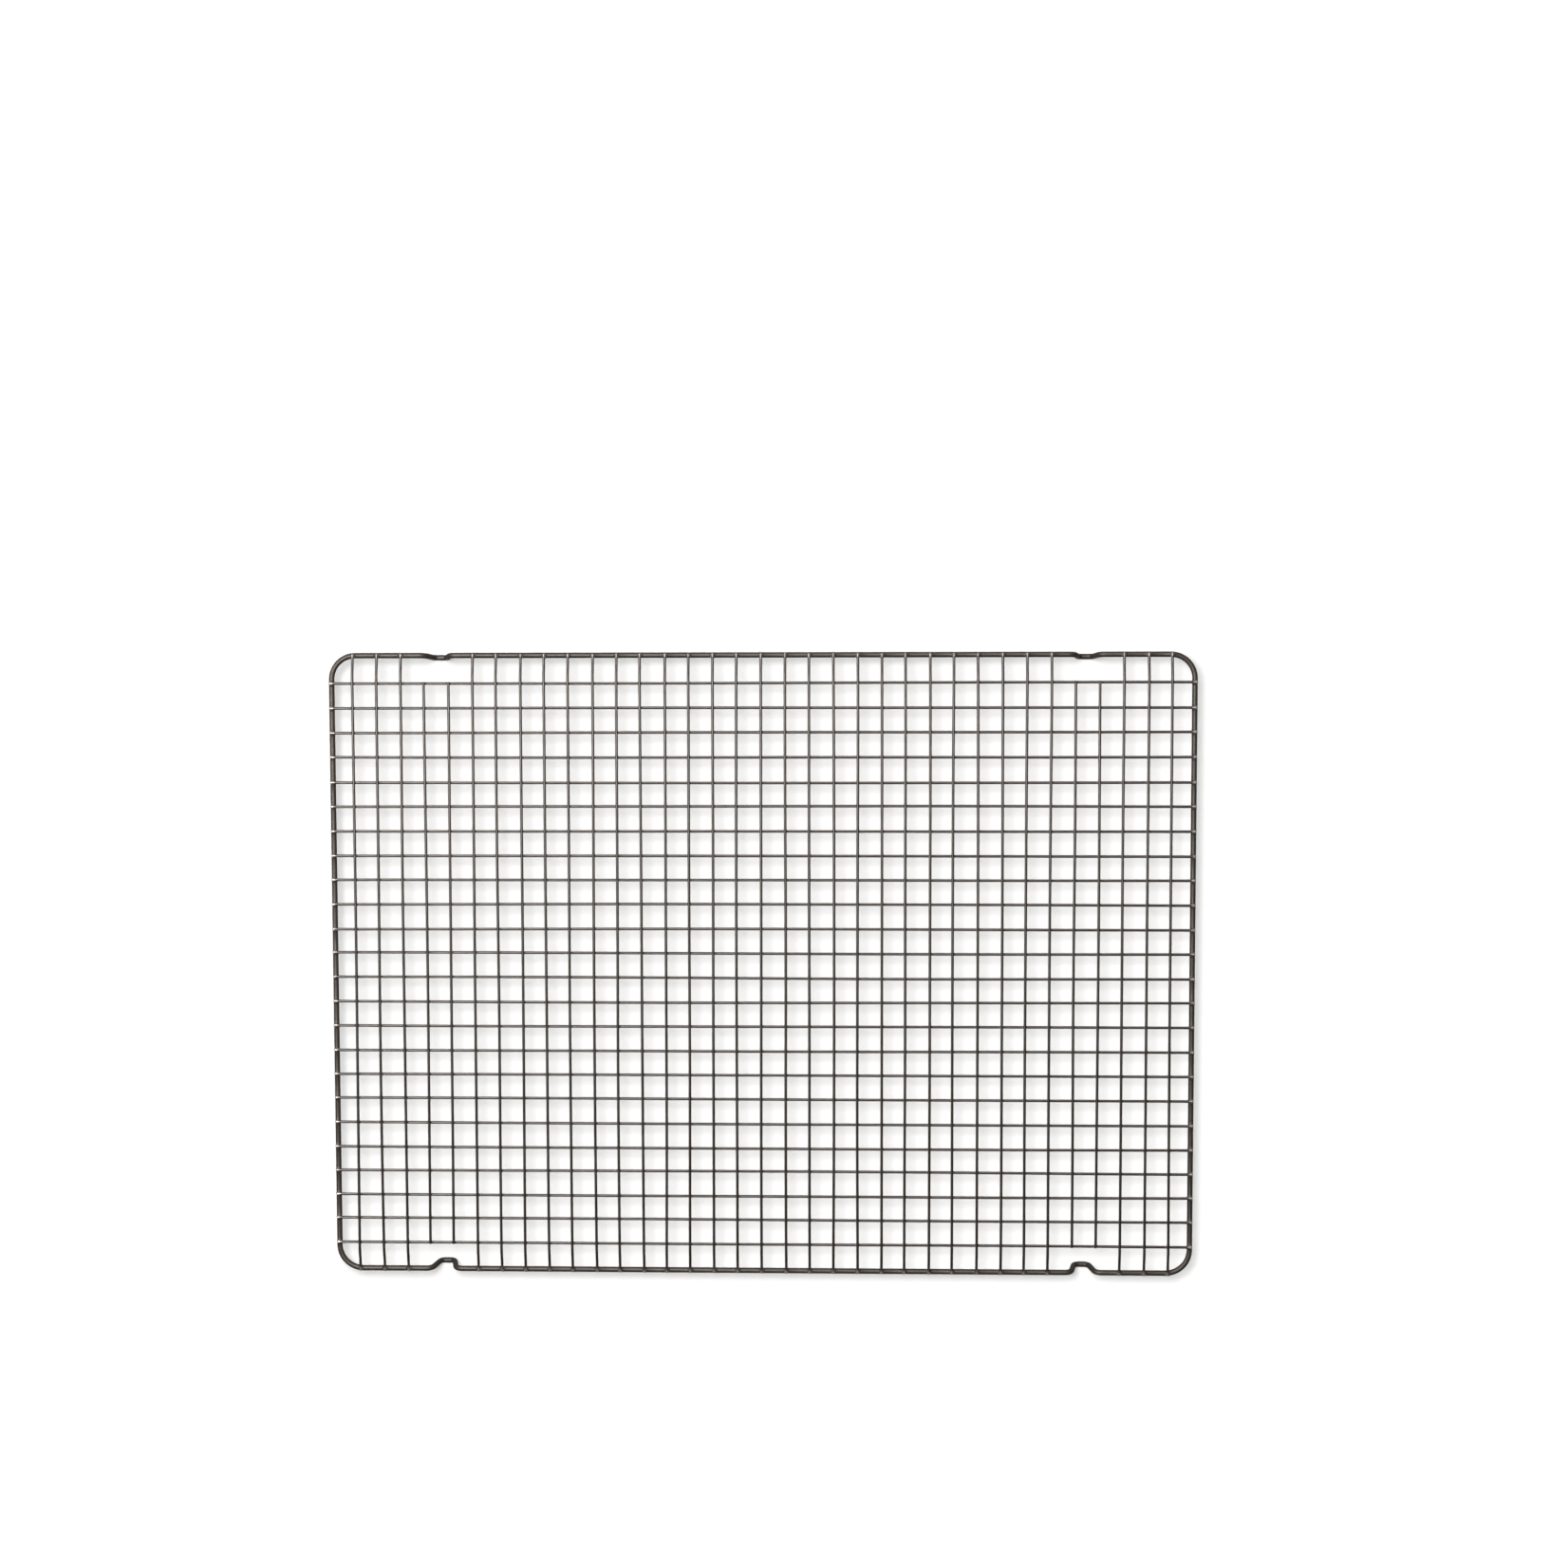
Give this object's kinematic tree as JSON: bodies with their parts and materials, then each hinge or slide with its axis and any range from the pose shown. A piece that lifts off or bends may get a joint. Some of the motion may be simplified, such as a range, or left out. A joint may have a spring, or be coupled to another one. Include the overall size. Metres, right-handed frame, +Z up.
{
  "type": "cooling rack",
  "caption": "Rectangular welded-wire cooling rack: thick round-cornered frame wire with bent feet under a fine grid of long and cross wires, dark non-stick coating.",
  "frame": {"origin": "on the table plane, under the middle of the rack", "axes": "+X along the long side, +Y across the rack, +Z up"},
  "size_m": [0.508, 0.3682, 0.019],
  "materials": {
    "frame_coating": "dark warm grey non-stick coating on steel wire, satin",
    "grid_coating": "dark warm grey non-stick coating on steel wire, satin"
  },
  "bodies": {
    "root": {"frame_wire": "frame_coating", "long_wire_01": "grid_coating", "long_wire_02": "grid_coating", "long_wire_03": "grid_coating", "long_wire_04": "grid_coating", "long_wire_05": "grid_coating", "long_wire_06": "grid_coating", "long_wire_07": "grid_coating", "long_wire_08": "grid_coating", "long_wire_09": "grid_coating", "long_wire_10": "grid_coating", "long_wire_11": "grid_coating", "long_wire_12": "grid_coating", "long_wire_13": "grid_coating", "long_wire_14": "grid_coating", "long_wire_15": "grid_coating", "long_wire_16": "grid_coating", "long_wire_17": "grid_coating", "long_wire_18": "grid_coating", "long_wire_19": "grid_coating", "long_wire_20": "grid_coating", "long_wire_21": "grid_coating", "long_wire_22": "grid_coating", "long_wire_23": "grid_coating", "long_wire_24": "grid_coating", "cross_wire_01": "grid_coating", "cross_wire_02": "grid_coating", "cross_wire_03": "grid_coating", "cross_wire_04": "grid_coating", "cross_wire_05": "grid_coating", "cross_wire_06": "grid_coating", "cross_wire_07": "grid_coating", "cross_wire_08": "grid_coating", "cross_wire_09": "grid_coating", "cross_wire_10": "grid_coating", "cross_wire_11": "grid_coating", "cross_wire_12": "grid_coating", "cross_wire_13": "grid_coating", "cross_wire_14": "grid_coating", "cross_wire_15": "grid_coating", "cross_wire_16": "grid_coating", "cross_wire_17": "grid_coating", "cross_wire_18": "grid_coating", "cross_wire_19": "grid_coating", "cross_wire_20": "grid_coating", "cross_wire_21": "grid_coating", "cross_wire_22": "grid_coating", "cross_wire_23": "grid_coating", "cross_wire_24": "grid_coating", "cross_wire_25": "grid_coating", "cross_wire_26": "grid_coating", "cross_wire_27": "grid_coating", "cross_wire_28": "grid_coating", "cross_wire_29": "grid_coating", "cross_wire_30": "grid_coating", "cross_wire_31": "grid_coating", "cross_wire_32": "grid_coating", "cross_wire_33": "grid_coating", "cross_wire_34": "grid_coating", "cross_wire_35": "grid_coating"}
  },
  "joints": []
}
